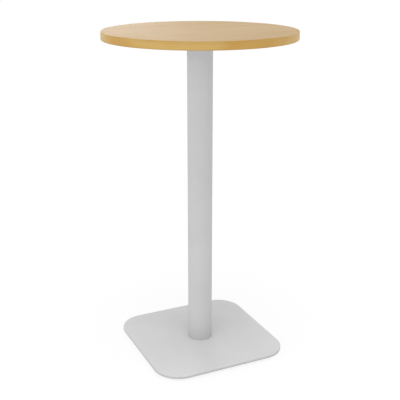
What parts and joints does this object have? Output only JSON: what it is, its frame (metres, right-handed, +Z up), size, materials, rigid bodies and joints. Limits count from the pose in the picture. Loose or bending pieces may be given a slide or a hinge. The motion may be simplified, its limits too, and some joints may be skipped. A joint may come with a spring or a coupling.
{
  "type": "standing meeting table",
  "caption": "Round standing-height table: laminated wood-decor top with a rounded edge band on a round steel column and a flat square base plate with rounded corners and levelling glides.",
  "frame": {"origin": "on the floor under the column's axis, which is the middle of the base plate and of the round top", "axes": "+Z up along the column; X and Y along the base plate's sides; the top's wood grain runs along X"},
  "size_m": [0.6, 0.6, 1.05],
  "materials": {
    "decor_laminate": "satin",
    "backing_sheet": "matte",
    "edging": "satin",
    "chipboard": "matte",
    "powder_coat": "matte",
    "bare_steel": "satin",
    "zinc_steel": "satin",
    "glide_plastic": "matte"
  },
  "bodies": {
    "table": {"top_laminate": "decor_laminate", "backing_laminate": "backing_sheet", "tabletop_core": "chipboard", "edge_band": "edging", "top_plate": "powder_coat", "column_tube": "powder_coat", "column_foot_plug": "bare_steel", "base_plate": "powder_coat", "threaded_insert_1": "zinc_steel", "threaded_insert_2": "zinc_steel", "threaded_insert_3": "zinc_steel", "threaded_insert_4": "zinc_steel", "top_screw_1": "zinc_steel", "top_screw_2": "zinc_steel", "top_screw_3": "zinc_steel", "top_screw_4": "zinc_steel", "base_screw_1": "zinc_steel", "base_screw_2": "zinc_steel", "base_screw_3": "zinc_steel", "base_screw_4": "zinc_steel"},
    "pad_1": {"glide_pad_1": "glide_plastic"},
    "stud_1": {"glide_stud_1": "zinc_steel"},
    "pad_2": {"glide_pad_2": "glide_plastic"},
    "stud_2": {"glide_stud_2": "zinc_steel"},
    "pad_3": {"glide_pad_3": "glide_plastic"},
    "stud_3": {"glide_stud_3": "zinc_steel"},
    "pad_4": {"glide_pad_4": "glide_plastic"},
    "stud_4": {"glide_stud_4": "zinc_steel"}
  },
  "joints": [
    {"name": "glide_1_lower", "type": "slide", "parent": "table", "child": "pad_1", "axis": [0, 0, -1], "range_m": [0, 0.003]},
    {"name": "glide_1_turn", "type": "hinge", "parent": "pad_1", "child": "stud_1", "pos_m": [0.175, 0.175, 0.005], "axis": [0, 0, -1], "range_deg": [0, 864]},
    {"name": "glide_2_lower", "type": "slide", "parent": "table", "child": "pad_2", "axis": [0, 0, -1], "range_m": [0, 0.003]},
    {"name": "glide_2_turn", "type": "hinge", "parent": "pad_2", "child": "stud_2", "pos_m": [-0.175, 0.175, 0.005], "axis": [0, 0, -1], "range_deg": [0, 864]},
    {"name": "glide_3_lower", "type": "slide", "parent": "table", "child": "pad_3", "axis": [0, 0, -1], "range_m": [0, 0.003]},
    {"name": "glide_3_turn", "type": "hinge", "parent": "pad_3", "child": "stud_3", "pos_m": [-0.175, -0.175, 0.005], "axis": [0, 0, -1], "range_deg": [0, 864]},
    {"name": "glide_4_lower", "type": "slide", "parent": "table", "child": "pad_4", "axis": [0, 0, -1], "range_m": [0, 0.003]},
    {"name": "glide_4_turn", "type": "hinge", "parent": "pad_4", "child": "stud_4", "pos_m": [0.175, -0.175, 0.005], "axis": [0, 0, -1], "range_deg": [0, 864]}
  ],
  "couplings": [
    {"joint": "glide_1_lower", "follows": "glide_1_turn", "m_per_rad": 0.00019894},
    {"joint": "glide_2_lower", "follows": "glide_2_turn", "m_per_rad": 0.00019894},
    {"joint": "glide_3_lower", "follows": "glide_3_turn", "m_per_rad": 0.00019894},
    {"joint": "glide_4_lower", "follows": "glide_4_turn", "m_per_rad": 0.00019894}
  ]
}
